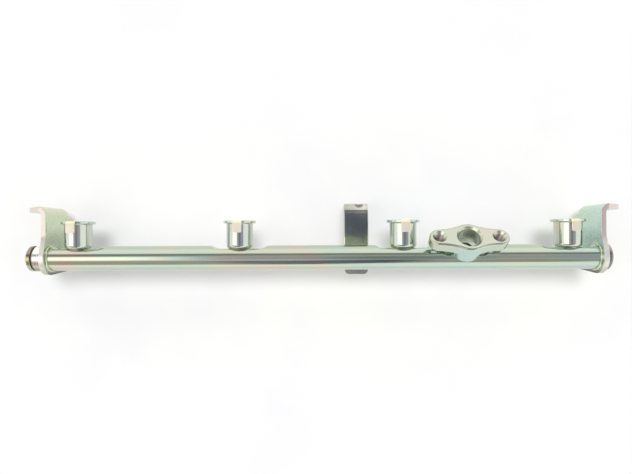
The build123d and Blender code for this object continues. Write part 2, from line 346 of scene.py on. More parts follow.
def lathe(name: str, corners: Sequence[Corner], segments: int = 128, closed: bool = True) -> Piece:
    """Turn a profile about the X axis.

    Args:
        name: The object's name.
        corners: The profile's corners, as distance along X and radius.
        segments: Facets round the axis.
        closed: Whether the profile is a loop; otherwise it runs from axis to axis.

    Returns:
        The turned solid.
    """
    profile = rounded(corners)
    angles = np.linspace(0, 2 * math.pi, segments, endpoint=False)
    points = [(x, r * math.cos(a), r * math.sin(a)) for x, r in profile for a in angles]
    rows = len(profile)
    faces = []
    for i in range(rows if closed else rows - 1):
        here, ahead = i * segments, (i + 1) % rows * segments
        for j in range(segments):
            k = (j + 1) % segments
            faces.append((here + j, here + k, ahead + k, ahead + j))
    mesh = bpy.data.meshes.new(name)
    mesh.from_pydata(points, [], faces)
    return cleaned(link(name, mesh))


OVERRUN = 0.4              # how far a small cutter stands out of what it cuts


def rod(name: str, start: float, stop: float, radius: float, flare: float, segments: int) -> Piece:
    """A drill's or countersink's shape along X, to cut with.

    Args:
        name: The object's name.
        start: Where its tip is.
        stop: Where its shank ends.
        radius: Its radius at the tip.
        flare: How much wider it is at the shank.
        segments: Facets round the axis.

    Returns:
        The cutter.
    """
    profile = [(start, 0), (start, radius), (stop, radius + flare), (stop, 0)]
    return lathe(name, profile, segments, closed=False)


def blank(name: str, outline: Sequence[Point], holes: Sequence[Sequence[Point]], sheet: float,
          edge: float) -> Piece:
    """Stamp a flat blank, its edges broken, with its faces at 0 and minus the sheet's thickness.

    Args:
        name: The object's name.
        outline: The outer outline.
        holes: The outlines of its holes.
        sheet: The thickness.
        edge: The radius of its broken edges.

    Returns:
        The blank.
    """
    curve = bpy.data.curves.new(name, "CURVE")
    curve.dimensions = "2D"
    curve.fill_mode = "BOTH"
    curve.extrude = sheet / 2 - edge
    curve.bevel_depth = edge
    curve.bevel_resolution = 2
    curve.offset = -edge
    for loop in (outline, *holes):
        spline = curve.splines.new("POLY")
        spline.points.add(len(loop) - 1)
        for point, (x, y) in zip(spline.points, loop):
            point.co = (x, y, 0, 1)
        spline.use_cyclic_u = True
    return bent(cleaned(baked(link(name, curve))), lambda x, y, z: (x, y, z - sheet / 2))


def sliced(thing: Piece, axis: int, places: Sequence[float]) -> Piece:
    """Cut new edges into a mesh across one axis, so that it can bend there.

    Args:
        thing: The object.
        axis: 0, 1 or 2.
        places: Where the cuts cross that axis.

    Returns:
        The same object.
    """
    normal = Vector([float(i == axis) for i in range(3)])

    def work(mesh: bmesh.types.BMesh) -> None:
        """Cut at each place.

        Args:
            mesh: The open mesh.
        """
        for place in places:
            bmesh.ops.bisect_plane(mesh, geom=[*mesh.verts, *mesh.edges, *mesh.faces], dist=1e-5,
                                   plane_co=normal * place, plane_no=normal)

    return reworked(thing, work)


@dataclass(frozen=True)
class Fold:
    """A right-angled fold in a sheet, in millimetres.

    A blank's X runs along the sheet, its Y across and its Z is 0 on the side that ends
    up outside the fold.
    """

    start: float
    outer: float
    sheet: float
    facets: int

    @property
    def length(self) -> float:
        """How much of the blank the fold takes up, at the middle of the sheet."""
        return (self.outer - self.sheet / 2) * math.pi / 2

    def unrolled(self, past_face: float) -> float:
        """Where on the blank a point lies that ends up so far behind the sheet's outer face."""
        return self.start + self.length + past_face - self.outer

    def made(self, flat: Piece) -> Piece:
        """Fold a blank.

        Args:
            flat: The blank.

        Returns:
            The same object: X is now the depth behind the outer face, Y runs up the
            sheet and Z is across.
        """
        sliced(flat, 0, [self.start + self.length * i / self.facets
                         for i in range(self.facets + 1)])

        def rule(along: Row, across: Row, up: Row) -> Sequence[Row]:
            """Wrap the blank round the fold.

            Args:
                along: X of the blank's points.
                across: Their Y.
                up: Their Z.

            Returns:
                Their depth, height and place across.
            """
            turn = np.clip((along - self.start) / self.length, 0, 1) * math.pi / 2
            reach = self.outer + up
            past = np.maximum(along - self.start - self.length, 0)
            short = np.minimum(along - self.start, 0)
            return (self.outer - reach * np.cos(turn) + past,
                    self.start + reach * np.sin(turn) + short, across)

        return bent(flat, rule)


# -------- finishes
STREAK_SHARE = 0.22        # of the film's pattern; the clouds make the rest
NOISE_MIDDLE = (0.3, 0.7)  # where most of a noise's values lie
RAGGED_MM = 1.5            # how unevenly the upper rim of the painted low tint runs


@dataclass(frozen=True)
class FilmedMetal:
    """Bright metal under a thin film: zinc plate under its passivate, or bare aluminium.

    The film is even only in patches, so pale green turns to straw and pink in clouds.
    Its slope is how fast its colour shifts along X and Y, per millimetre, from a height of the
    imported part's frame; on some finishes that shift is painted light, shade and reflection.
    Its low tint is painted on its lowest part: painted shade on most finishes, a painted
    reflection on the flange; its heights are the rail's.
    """

    # Real draw marks, tool rings and grain are a few hundredths of a millimetre wide, too
    # fine to show, so they are drawn as coarse as they need to show.
    name: str
    tints: tuple[tuple[float, str], ...]
    cloud_mm: float = 16.0
    roughness: float = 0.17
    uneven: float = 0.07
    streak: Corner = (1.0, 1.0, 1.0)
    streak_mm: float = 1.2
    ripple_mm: float = 3.0
    ripple_height: float = 0.010
    grain_mm: float = 0.35
    grain_height: float = 0.0015
    contrast: float = 1.0
    drain: Point = (0.0, 0.0)
    drain_from: float = 0.0
    pool: str = ""
    pool_y: Point = (0.0, 0.0)

    @cache
    def material(self) -> bpy.types.Material:
        """Build the node material, once for each finish.

        Returns:
            The material.
        """
        made = bpy.data.materials.new(self.name)
        add = cleared(made)
        spot = add("ShaderNodeTexCoord").outputs["Object"]
        drawn = add("ShaderNodeMapping", {"Vector": spot, "Scale": self.streak})
        clouds = add(NOISE, {
            "Vector": spot, "Scale": 1 / (self.cloud_mm * MM), "Detail": 3.0, "Roughness": 0.5,
            "Distortion": 0.6,
        })
        streaks = add(NOISE, {
            "Vector": drawn, "Scale": 1 / (self.streak_mm * MM), "Detail": 4.0, "Roughness": 0.6,
        })
        film = add(MATH, [streaks, STREAK_SHARE, clouds], "MULTIPLY_ADD")
        centred = add(MATH, [film, 0.5 + STREAK_SHARE / 2], "SUBTRACT")
        patchy = add(MATH, [centred, self.contrast, 0.5], "MULTIPLY_ADD")
        # The colour shifts steadily to one side; on some finishes this is painted light, shade and
        # reflection by height.
        below = add(VECTOR_MATH, [spot, (0.0, self.drain_from * MM, 0.0)], "SUBTRACT")
        fall = (*(part / MM for part in self.drain), 0.0)
        thicker = add(VECTOR_MATH, [below, fall], "DOT_PRODUCT").outputs["Value"]
        level = add(MATH, [patchy, thicker], "ADD")
        ramp = add("ShaderNodeValToRGB", [level])
        colours = ramp.color_ramp
        colours.interpolation = "B_SPLINE"
        while len(colours.elements) < len(self.tints):
            colours.elements.new(0.5)
        for element, (place, tint) in zip(colours.elements, self.tints):
            element.position = place
            element.color = linear(tint)
        film_colour: object = ramp
        if self.pool:
            # A low tint painted along the lowest part: painted shade on the sheet, its sheared
            # edges and the clip strip's tail, and a painted reflection of the floor on the flange's
            # stem.
            heights = add("ShaderNodeSeparateXYZ", [spot]).outputs["Y"]
            ragged = add(MATH, [clouds, RAGGED_MM * MM, heights], "MULTIPLY_ADD")
            start, stop = ((RAIL.axis_y + part) * MM for part in self.pool_y)
            pooled = add(MAP_RANGE, {"Value": ragged, "From Min": start, "From Max": stop},
                         interpolation_type="SMOOTHSTEP")
            film_colour = add("ShaderNodeMix", {0: pooled, 6: ramp, 7: linear(self.pool)},
                              data_type="RGBA").outputs[2]
        low, high = NOISE_MIDDLE
        rough = add(MAP_RANGE, {
            "Value": streaks, "From Min": low, "From Max": high,
            "To Min": self.roughness - self.uneven / 2, "To Max": self.roughness + self.uneven / 2,
        })
        skin: Node | None = None
        for size, height, detail in ((self.ripple_mm, self.ripple_height, 1.0),
                                     (self.grain_mm, self.grain_height, 2.0)):
            relief = add(NOISE, {"Vector": drawn, "Scale": 1 / (size * MM), "Detail": detail})
            skin = add("ShaderNodeBump", {
                "Strength": 1.0, "Distance": height * MM, "Height": relief, "Normal": skin,
            })
        shader = add("ShaderNodeBsdfPrincipled", {
            "Base Color": film_colour, "Metallic": 1.0, "Roughness": rough, "Normal": skin,
        })
        add("ShaderNodeOutputMaterial", {"Surface": shader})
        return made


# Drawn tube: the bright plate follows fine lengthwise draw marks, so its mirror is soft
# across the tube and streaky along it; the passivate is pale green with straw patches.
TUBE_ZINC = FilmedMetal(
    "zinc_plated_drawn_tube",
    ((0.28, "#D0C2B2"), (0.40, "#C8C8B6"), (0.50, "#BFCBB8"), (0.62, "#B8CABF"), (0.76, "#BEC6BE")),
    cloud_mm=40.0, drain=(0.0006, 0.0), streak=(0.05, 1.0, 1.0), streak_mm=0.7, roughness=0.15,
    ripple_mm=2.2, ripple_height=0.008,
)
# Deep-drawn cups: wall stretched along the cup, so the streaks run down it.
CUP_ZINC = FilmedMetal(
    "zinc_plated_deep_drawn_cup",
    ((0.30, "#CFC2B0"), (0.44, "#CCCFC2"), (0.56, "#BECDC2"), (0.72, "#C8C0BE")),
    cloud_mm=12.0, streak=(1.0, 0.12, 1.0), streak_mm=0.8, roughness=0.11, uneven=0.05,
    contrast=0.7,
)
# Cup tabs: sheared and folded after drawing, so the plate sits on a torn, dull face.
# They turn from yellow at the fold to pink lower down: the yellow is a painted highlight
# where light falls on the fold.
TAB_ZINC = FilmedMetal(
    "zinc_plated_sheared_tab",
    ((0.32, "#FEFAD6"), (0.50, "#FFF8E6"), (0.66, "#FEF2EA")),
    cloud_mm=6.0, roughness=0.62, uneven=0.12, ripple_mm=1.2, ripple_height=0.03, contrast=0.5,
    drain=(0.0, -0.05), drain_from=6.5,
)
# Stamped sheet: rolled skin under the plate, so it is flatter and softer.  Its colour runs
# from straw at the foot to teal and green below, and differs a little between the two ends;
# its lowest edge round the lobe is painted dark grey: painted shade where the rail's shadow falls.
SHEET_ZINC = FilmedMetal(
    "zinc_plated_stamped_sheet",
    ((0.18, "#E2D8BF"), (0.30, "#D2DABE"), (0.44, "#CCDEC2"), (0.60, "#C2DAD0"), (0.78, "#C0D9D2")),
    cloud_mm=30.0, roughness=0.26, uneven=0.06, ripple_mm=6.0, contrast=0.6,
    drain=(0.0009, -0.010), drain_from=4.0, pool="#6A6762", pool_y=(-4.8, -8.0),
)
# Sheared edges of the sheet: half burnished, half torn, so the plate is rougher and pinker.
# They grow paler lower down, and their lowest part is painted grey: painted shade.
SHEAR_ZINC = FilmedMetal(
    "zinc_plated_sheared_edge",
    ((0.36, "#E2D6CE"), (0.60, "#FFFBF4")),
    cloud_mm=5.0, streak=(1.0, 1.0, 0.3), streak_mm=0.6, roughness=0.40, uneven=0.12,
    ripple_mm=1.0, ripple_height=0.02, contrast=0.3, drain=(0.0, -0.07), drain_from=-0.5,
    pool="#CCC5B4", pool_y=(-1.5, -5.5),
)
# Clip strip: the same sheet, burnished harder.  Its colour by height is painted reflection:
# a pale band at the fold, a dark slate band below it and pale olive towards the tube; its
# tail is painted greyer, as painted shade.
STRIP_ZINC = FilmedMetal(
    "zinc_plated_spring_strip",
    ((0.10, "#E2DDCA"), (0.25, "#8A9094"), (0.43, "#8C9A98"), (0.53, "#E8F6C2"), (0.68, "#F0FACA")),
    roughness=0.14, uneven=0.05, ripple_mm=5.0, contrast=0.35,
    drain=(0.0, -0.022), drain_from=1.0, pool="#E2DDCD", pool_y=(-4.0, -6.5),
)
# Painted shade in the dart's dimple: the faces round the dart's middle are painted darker
# than the strip.
PUNCHED_ZINC = FilmedMetal(
    "zinc_plated_punch_mark", ((0.35, "#7E7C7A"), (0.65, "#8A8884")),
    cloud_mm=2.0, roughness=0.30, uneven=0.08, ripple_mm=1.0,
)
# Forged flange: tumbled before plating, so the skin is lightly dimpled and paler.  Its
# lower part, the stem, is painted pale teal: a painted reflection of the floor.
FORGED_ZINC = FilmedMetal(
    "zinc_plated_tumbled_forging",
    ((0.30, "#CFC6B4"), (0.45, "#CCC9B8"), (0.58, "#C4CDB8"), (0.74, "#C6C3BC")),
    cloud_mm=14.0, roughness=0.25, uneven=0.08, ripple_mm=1.6, ripple_height=0.02, contrast=0.8,
    pool="#BAD3CA", pool_y=(8.0, 1.5),
)
# Machined bores: cut after forging, so the plate is thin and neutral over fine tool marks.
BORE_ZINC = FilmedMetal(
    "zinc_plated_machined_bore", ((0.34, "#EEF1E6"), (0.62, "#E2ECE2")),
    cloud_mm=5.0, roughness=0.38, uneven=0.08, ripple_mm=1.2, ripple_height=0.006,
)
# Tapped holes: painted brown-grey, darker than the bore, as painted shade inside the holes.
TAPPED_ZINC = FilmedMetal(
    "thinly_plated_tapped_hole", ((0.35, "#BEB6AE"), (0.65, "#B4B0A6")),
    cloud_mm=2.0, roughness=0.34, uneven=0.1, ripple_mm=0.8, ripple_height=0.004,
)
# Turned fittings: fine rings round the axis under a thicker, pinker film.  Their colour is
# painted light and shade: near white on the upper side, dark grey on the lower, and
# darker on the cap at +X than on the boss at -X.
TURNED_ZINC = FilmedMetal(
    "zinc_plated_turned_steel",
    ((0.24, "#FFF8F0"), (0.38, "#DFD0C5"), (0.56, "#999189"), (0.76, "#8C8A88")),
    cloud_mm=7.0, streak=(1.0, 0.08, 0.08), streak_mm=0.5, roughness=0.24,
    contrast=0.4, drain=(0.0017, -0.05), drain_from=-9.0,
)
# Turned plug: a heavier, yellow passivate, with a painted reflection by height: brown
# above and green below.
PLUG_ZINC = FilmedMetal(
    "yellow_passivated_turned_plug",
    ((0.22, "#94866E"), (0.42, "#AE9C8A"), (0.60, "#ABB28E"), (0.78, "#B4C098")),
    cloud_mm=6.0, streak=(1.0, 0.08, 0.08), streak_mm=0.5, roughness=0.2,
    contrast=0.6, drain=(0.0, -0.045), drain_from=-9.5,
)
# Soft aluminium sealing ring, dull from being crushed flat; its dark grey is partly its own
# dull colour and partly painted shade in the recess between boss and plug.
RING_METAL = FilmedMetal(
    "pressed_aluminium_ring", ((0.35, "#77746E"), (0.65, "#908D86")),
    cloud_mm=3.0, roughness=0.42, uneven=0.1,
)
# Braze: the filler's smooth meniscus takes the plate brighter than the steel round it.
BRAZE_ZINC = FilmedMetal(
    "zinc_plated_braze_bead", ((0.35, "#D2CDB0"), (0.65, "#C6CFB6")),
    cloud_mm=6.0, roughness=0.2, uneven=0.1, ripple_mm=1.2, ripple_height=0.03,
)


NEAR = 0.1                 # how near to a tool's path a face's middle must lie to be cut by it


@dataclass(frozen=True)
class CutSkin:
    """Faces of a piece, picked by middle and normal, with another finish, as a sheared edge."""

    finish: FilmedMetal
    takes: Callable[[Vector, Vector], bool]


def finished(thing: Piece, name: str, finish: FilmedMetal, slot: str, nodes: Sequence[str],
             place: Matrix = Matrix.Identity(4), cuts: Sequence[CutSkin] = ()) -> Piece:
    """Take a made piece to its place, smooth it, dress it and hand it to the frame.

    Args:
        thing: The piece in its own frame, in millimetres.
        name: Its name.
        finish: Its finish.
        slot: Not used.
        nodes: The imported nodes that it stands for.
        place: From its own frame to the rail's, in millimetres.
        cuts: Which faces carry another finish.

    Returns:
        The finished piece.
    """
    thing.name = name
    thing.data.materials.clear()
    thing.data.materials.append(finish.material())
    for index, skin in enumerate(cuts, 1):
        thing.data.materials.append(skin.finish.material())
        for face in thing.data.polygons:
            if skin.takes(face.center, face.normal):
                face.material_index = index
    thing.data.transform(RAIL.to_part() @ place)
    cleaned(thing, 1e-7)
    thing.data.shade_smooth()
    thing.data.set_sharp_from_angle(angle=math.radians(CREASE))
    weight = thing.modifiers.new("even", "WEIGHTED_NORMAL")
    weight.keep_sharp = True
    thing = baked(thing)
    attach(thing, BODY)
    if nodes:
        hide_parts(*nodes)
    thing.data.calc_loop_triangles()
    LOG.info("%s: %d triangles", name, len(thing.data.loop_triangles))
    return thing


# -------- shapes grown by a rule
THREAD_DEPTH = 0.5413      # of a metric thread, as a share of its pitch
THREAD_FLAT = 0.06         # half the flat of its crest or root, as a share of its pitch


def geometry_tree(rule: Rule, sizes: Mapping[str, float]) -> NodeTree:
    """Build a rule's Geometry Nodes tree, once: its result made real and given its material.

    Args:
        rule: Takes what adds a node and the tree's inputs, and returns its last node.
        sizes: The named inputs, each with the value to start from.

    Returns:
        The tree, of the rule's name.
    """
    known = bpy.data.node_groups.get(rule.__name__)
    if known:
        return known
    tree = bpy.data.node_groups.new(rule.__name__, "GeometryNodeTree")
    new_socket = tree.interface.new_socket
    for label, size in sizes.items():
        kind = "NodeSocketInt" if isinstance(size, int) else "NodeSocketFloat"
        new_socket(label, in_out="INPUT", socket_type=kind).default_value = size
    new_socket("Material", in_out="INPUT", socket_type="NodeSocketMaterial")
    new_socket("Geometry", in_out="OUTPUT", socket_type="NodeSocketGeometry")
    add = partial(add_node, tree)
    given = add("NodeGroupInput").outputs
    real = add("GeometryNodeRealizeInstances", [rule(add, given)])
    dressed = add("GeometryNodeSetMaterial", {"Geometry": real, "Material": given["Material"]})
    add("NodeGroupOutput", [dressed])
    return tree


def grown(name: str, rule: Rule, sizes: Mapping[str, float], finish: FilmedMetal) -> Piece:
    """Run a rule's Geometry Nodes tree and keep what it makes as a plain mesh.

    Args:
        name: The object's name.
        rule: The rule.
        sizes: Its inputs by label.
        finish: What it is made of.

    Returns:
        The made object, with no modifiers.
    """
    seed = link(name, bpy.data.meshes.new(name))
    modifier = seed.modifiers.new(name, "NODES")
    modifier.node_group = geometry_tree(rule, sizes)
    values = {**sizes, "Material": finish.material()}
    for item in modifier.node_group.interface.items_tree:
        if item.in_out == "INPUT":
            modifier[item.identifier] = values[item.name]
    return baked(seed)


@dataclass(frozen=True)
class Thread:
    """A metric thread, cut in a hole or on a shank, in millimetres."""

    major: float
    pitch: float
    finish: FilmedMetal
    facets: int = 56
    rows: int = 10         # to a pitch

    @staticmethod
    def helical_thread(add: Adder, given: Sockets) -> Node:
        """A round bar along X whose skin rises and falls along a helix.

        Args:
            add: Adds a node.
            given: The tree's inputs.

        Returns:
            The last node.
        """
        bar = add("GeometryNodeMeshCylinder", {
            "Vertices": given["Facets"], "Side Segments": given["Rows"],
            "Radius": given["Root Radius"], "Depth": given["Length"],
        })
        x, y, z = add("ShaderNodeSeparateXYZ", [add("GeometryNodeInputPosition")]).outputs
        angle = add(MATH, [y, x], "ARCTAN2")
        turns = add(MATH, [angle, 2 * math.pi], "DIVIDE")
        climb = add(MATH, [z, given["Pitch"]], "DIVIDE")
        phase = add(MATH, [climb, turns], "SUBTRACT")
        flank = add(MATH, [phase, 0.5], "PINGPONG")
        share = add(MAP_RANGE, {
            "Value": flank, "From Min": THREAD_FLAT, "From Max": 0.5 - THREAD_FLAT,
        })
        rise = add(MATH, [share, given["Depth"]], "MULTIPLY")
        flat = add("ShaderNodeCombineXYZ", [x, y, 0.0])
        away = add(VECTOR_MATH, [flat], "NORMALIZE")
        shift = add(VECTOR_MATH, {0: away, "Scale": rise}, "SCALE")
        reach = add(VECTOR_MATH, [flat], "LENGTH").outputs["Value"]
        inside = add(MATH, [given["Root Radius"], 0.5], "MULTIPLY")
        skin = add("FunctionNodeCompare", [reach, inside], "GREATER_THAN")
        helix = add("GeometryNodeSetPosition", {
            "Geometry": bar.outputs["Mesh"], "Selection": skin, "Offset": shift,
        })
        return add("GeometryNodeTransform", {
            "Geometry": helix, "Rotation": (0.0, math.pi / 2, 0.0),
        })

    def bar(self, start: float, stop: float) -> Piece:
        """A threaded bar along X between two stations, to join or to cut with.

        Args:
            start: Its lower end.
            stop: Its upper end.

        Returns:
            The threaded solid.
        """
        length, depth = stop - start, THREAD_DEPTH * self.pitch
        made = grown("thread", self.helical_thread, {
            "Root Radius": self.major / 2 - depth, "Depth": depth, "Pitch": self.pitch,
            "Length": length, "Facets": self.facets,
            "Rows": round(length / self.pitch * self.rows),
        }, self.finish)
        return bent(made, lambda x, y, z: (x + (start + stop) / 2, y, z))


# -------- braze
STANDOFF = 0.1             # how far a bead's middle stands off the tube or its flat
INSIDE = 0.15              # and how far inside a bracket's inner face it lies


@dataclass(frozen=True)
class BrazeBead:
    """A ring of braze run into a joint, in millimetres; its seed picks how it swells."""

    half_length: float
    half_width: float
    radius: float
    seed: float
    uneven: float = 0.4

    @staticmethod
    def braze_bead(add: Adder, given: Sockets) -> Node:
        """An oval bead in the XY plane whose skin swells unevenly.

        Args:
            add: Adds a node.
            given: The tree's inputs, named as the fields of this class.

        Returns:
            The last node.
        """
        ring = add("GeometryNodeCurvePrimitiveCircle", {"Resolution": 120, "Radius": 1.0})
        where = add("GeometryNodeInputPosition")
        size = add("ShaderNodeCombineXYZ", [given["half_length"], given["half_width"], 1.0])
        oval_at = add(VECTOR_MATH, [where, size], "MULTIPLY")
        oval = add("GeometryNodeSetPosition", {"Geometry": ring, "Position": oval_at})
        section = add("GeometryNodeCurvePrimitiveCircle", {
            "Resolution": 16, "Radius": given["radius"],
        })
        bead = add("GeometryNodeCurveToMesh", {"Curve": oval, "Profile Curve": section})
        # A swelling runs for three or four millimetres.
        noise = add(NOISE, {"W": given["seed"], "Scale": 0.28, "Detail": 0.0},
                    noise_dimensions="4D")
        centred = add(MATH, [noise, 0.5], "SUBTRACT")
        swell = add(MATH, [centred, given["uneven"]], "MULTIPLY")
        outwards = add("GeometryNodeInputNormal")
        shift = add(VECTOR_MATH, {0: outwards, "Scale": swell}, "SCALE")
        return add("GeometryNodeSetPosition", {"Geometry": bead, "Offset": shift})

    def build(self, name: str, slot: str, place: Matrix) -> Piece:
        """Run the bead into its joint.

        Args:
            name: The bead's name.
            slot: The record's material slot.
            place: From a frame whose X is the joint's axis to the rail's.

        Returns:
            The finished bead.
        """
        made = grown(name, self.braze_bead, asdict(self), BRAZE_ZINC)
        across = Matrix.Rotation(math.pi / 2, 4, "Y")
        return finished(made, name, BRAZE_ZINC, slot, [], place @ across)


def braze_joints(cup_stations: Sequence[float]) -> None:
    """Run a bead round every joint that the furnace closed.

    Args:
        cup_stations: X of each cup.
    """
    eye = TUBE_RADIUS + STANDOFF
    for side, end in ((-1, "left"), (1, "right")):
        bead = BrazeBead(half_length=eye, half_width=eye, radius=0.75, seed=3.0 + side)
        place = Matrix.Translation((side * (BRACKET_GAP - INSIDE), 0, 0))
        bead.build(f"braze_plate_{end}", "bracket", place)
    for number, x in enumerate(cup_stations, 1):
        bead = BrazeBead(half_length=4.0, half_width=5.3, radius=0.6, seed=7.0 + number)
        place = turned_up(x, 0) @ Matrix.Translation((CUP_SEAT + STANDOFF, 0, 0))
        bead.build(f"braze_cup_{number}", "cup", place)
    bead = BrazeBead(half_length=3.2, half_width=6.9, radius=0.8, seed=15.0)
    place = turned_up(INLET_X, INLET_TURN) @ Matrix.Translation((INLET_SEAT, 0, 0))
    bead.build("braze_flange", "flange", place)


# -------- rail tube
@dataclass(frozen=True)
class PressedSkin:
    """The tube's outer skin along X, pressed flat under the cups and under the inlet."""

    radius: float = TUBE_RADIUS
    length: float = 2 * TUBE_END
    pitch: float = 84.0
    seat_level: float = CUP_SEAT
    seat_half: float = 11.3
    seat_ramp: float = 5.0
    end_ramp: float = 2.6
    inlet_x: float = INLET_X
    inlet_turn: float = math.radians(INLET_TURN)
    inlet_level: float = INLET_SEAT
    inlet_half: float = 9.3
    inlet_ramp: float = 2.5
    crown: float = 0.9
    facets: int = 128
    rows: int = 376

    @staticmethod
    def pressed_tube(add: Adder, given: Sockets) -> Node:
        """A tube along X, pressed flat on two of its sides by smooth minima.

        Args:
            add: Adds a node.
            given: The tree's inputs, named as the fields of this class.

        Returns:
            The last node.
        """
        bar = add("GeometryNodeMeshCylinder", {
            "Vertices": given["facets"], "Side Segments": given["rows"],
            "Radius": given["radius"], "Depth": given["length"],
        }, fill_type="NONE")
        lying = add("GeometryNodeTransform", {
            "Geometry": bar.outputs["Mesh"], "Rotation": (0.0, math.pi / 2, 0.0),
        })
        x, y, z = add("ShaderNodeSeparateXYZ", [add("GeometryNodeInputPosition")]).outputs
        free = add(MATH, [given["radius"], given["crown"]], "ADD")
        # The cups stand at even spacing, so one folded ruler measures to the nearest of them.
        half_pitch = add(MATH, [given["pitch"], 0.5], "MULTIPLY")
        shifted = add(MATH, [x, half_pitch], "SUBTRACT")
        to_cup = add(MATH, [shifted, half_pitch], "PINGPONG")
        side = add(MATH, [x], "ABSOLUTE")
        outermost = add(MATH, [given["pitch"], 1.5], "MULTIPLY")
        beyond = add(MATH, [side, outermost], "GREATER_THAN")
        shorter = add(MATH, [given["end_ramp"], given["seat_ramp"]], "SUBTRACT")
        ramp = add(MATH, [beyond, shorter, given["seat_ramp"]], "MULTIPLY_ADD")
        seat_end = add(MATH, [given["seat_half"], ramp], "ADD")
        level = add(MAP_RANGE, {
            "Value": to_cup, "From Min": given["seat_half"], "From Max": seat_end,
            "To Min": given["seat_level"], "To Max": free,
        }, interpolation_type="SMOOTHSTEP")
        pressed = add(MATH, [y, level, given["crown"]], "SMOOTH_MIN")
        # The inlet's flat is turned about the tube, so its depth is measured along its own normal.
        cosine = add(MATH, [given["inlet_turn"]], "COSINE")
        sine = add(MATH, [given["inlet_turn"]], "SINE")
        up_part = add(MATH, [pressed, cosine], "MULTIPLY")
        reach = add(MATH, [z, sine, up_part], "MULTIPLY_ADD")
        off = add(MATH, [x, given["inlet_x"]], "SUBTRACT")
        to_inlet = add(MATH, [off], "ABSOLUTE")
        inlet_end = add(MATH, [given["inlet_half"], given["inlet_ramp"]], "ADD")
        inlet_level = add(MAP_RANGE, {
            "Value": to_inlet, "From Min": given["inlet_half"], "From Max": inlet_end,
            "To Min": given["inlet_level"], "To Max": free,
        }, interpolation_type="SMOOTHSTEP")
        kept = add(MATH, [reach, inlet_level, given["crown"]], "SMOOTH_MIN")
        push = add(MATH, [kept, reach], "SUBTRACT")
        new_y = add(MATH, [push, cosine, pressed], "MULTIPLY_ADD")
        new_z = add(MATH, [push, sine, z], "MULTIPLY_ADD")
        place = add("ShaderNodeCombineXYZ", [x, new_y, new_z])
        return add("GeometryNodeSetPosition", {"Geometry": lying, "Position": place})


@dataclass(frozen=True)
class RailTube:
    """The drawn tube, drilled through its flats."""

    skin: PressedSkin = PressedSkin()
    cups: int = 4

    def cup_stations(self) -> list[float]:
        """X of each cup."""
        return [(i - (self.cups - 1) / 2) * self.skin.pitch for i in range(self.cups)]

    def build(self) -> Piece:
        """Draw, press and drill the tube.

        Returns:
            The finished tube.
        """
        skin = grown("rail_tube_skin", self.skin.pressed_tube, asdict(self.skin), TUBE_ZINC)
        wall = cleaned(skin).modifiers.new("wall", "SOLIDIFY")
        wall.thickness = TUBE_WALL
        wall.offset = -1.0
        tube = baked(skin)
        feeds = [(x, 0.0, CUP_FEED, 40) for x in self.cup_stations()]
        for x, turn, bore, facets in [*feeds, (INLET_X, INLET_TURN, INLET_FEED, 48)]:
            drill = rod("drill", 0, 2 * TUBE_RADIUS, bore / 2, 0, facets)
            drill.data.transform(turned_up(x, turn))
            tube = fitted(tube, drill, Fit.CUT)
        return finished(tube, "drawn_tube", TUBE_ZINC, "tube", ["rail_tube"])


# -------- injector cups
@dataclass(frozen=True)
class InjectorCup:
    """A deep-drawn cup with a flared lip and a locating tab folded down from it."""

    bore: float = 11.0
    wall: float = 1.3
    height: float = 14.3
    floor: float = 1.4
    corner: float = 2.0
    lip_reach: float = 1.55
    lip_rim: float = 1.3
    lip_edge: float = 0.9
    lip_root: float = 0.7
    tab_width: float = 4.4
    tab_drop: float = 6.1
    tab_sheet: float = 1.1
    tab_gap: float = 0.15
    tab_bend: float = 1.8
    tab_corner: float = 0.9
    tab_edge: float = 0.22
    tab_root: float = 0.3

    @property
    def lip(self) -> float:
        """The lip's radius."""
        return self.bore / 2 + self.wall + self.lip_reach

    def pressing(self) -> Piece:
        """The drawn cup along X, closed end at 0.

        Returns:
            The cup without its tab.
        """
        inner, feed, top = self.bore / 2, CUP_FEED / 2, self.height
        outer, rim_in = inner + self.wall, self.lip - self.lip_edge
        return lathe("cup", [
            (0, feed, 0.2),
            (0, outer, self.corner),
            (top - self.lip_rim, outer, self.lip_root),
            (top - self.lip_rim, self.lip, 0.3),
            (top, self.lip, 0.35),
            (top, rim_in, 0.3),
            (top - (rim_in - inner), inner, 1.2),
            (self.floor, inner, 0.9),
            (self.floor, feed, 0.2),
        ], 112)

    def tab(self) -> Piece:
        """The folded tab, standing on the +Z side of the cup.

        Returns:
            The tab, ready to join to the cup.
        """
        outer = self.lip + self.tab_gap + self.tab_sheet
        fold = Fold(outer - self.tab_bend, self.tab_bend, self.tab_sheet, facets=10)
        root, tip = self.lip - self.tab_sheet, fold.unrolled(self.tab_drop)
        half = self.tab_width / 2
        outline = rounded([
            (root, -half), (tip, -half, self.tab_corner), (tip, half, self.tab_corner),
            (root, half),
        ])
        made = fold.made(blank("tab", outline, [], self.tab_sheet, self.tab_edge))
        # The fold's depth runs down from the rim and its height runs out from the cup.
        return cleaned(bent(made, lambda x, y, z: (self.height - x, z, y)))

    def build(self, number: int, x: float) -> Piece:
        """Make one cup at its station.

        Args:
            number: Its number along the rail.
            x: Its station.

        Returns:
            The finished cup.
        """
        cup = fitted(self.pressing(), self.tab(), Fit.JOIN)
        place = turned_up(x, 0) @ Matrix.Translation((CUP_SEAT, 0, 0))
        torn = CutSkin(TAB_ZINC, lambda at, _: at.z > self.lip - self.tab_root)
        return finished(cup, f"drawn_cup_{number}", CUP_ZINC, "cup", [f"injector_cup_{number}"],
                        place, [torn])


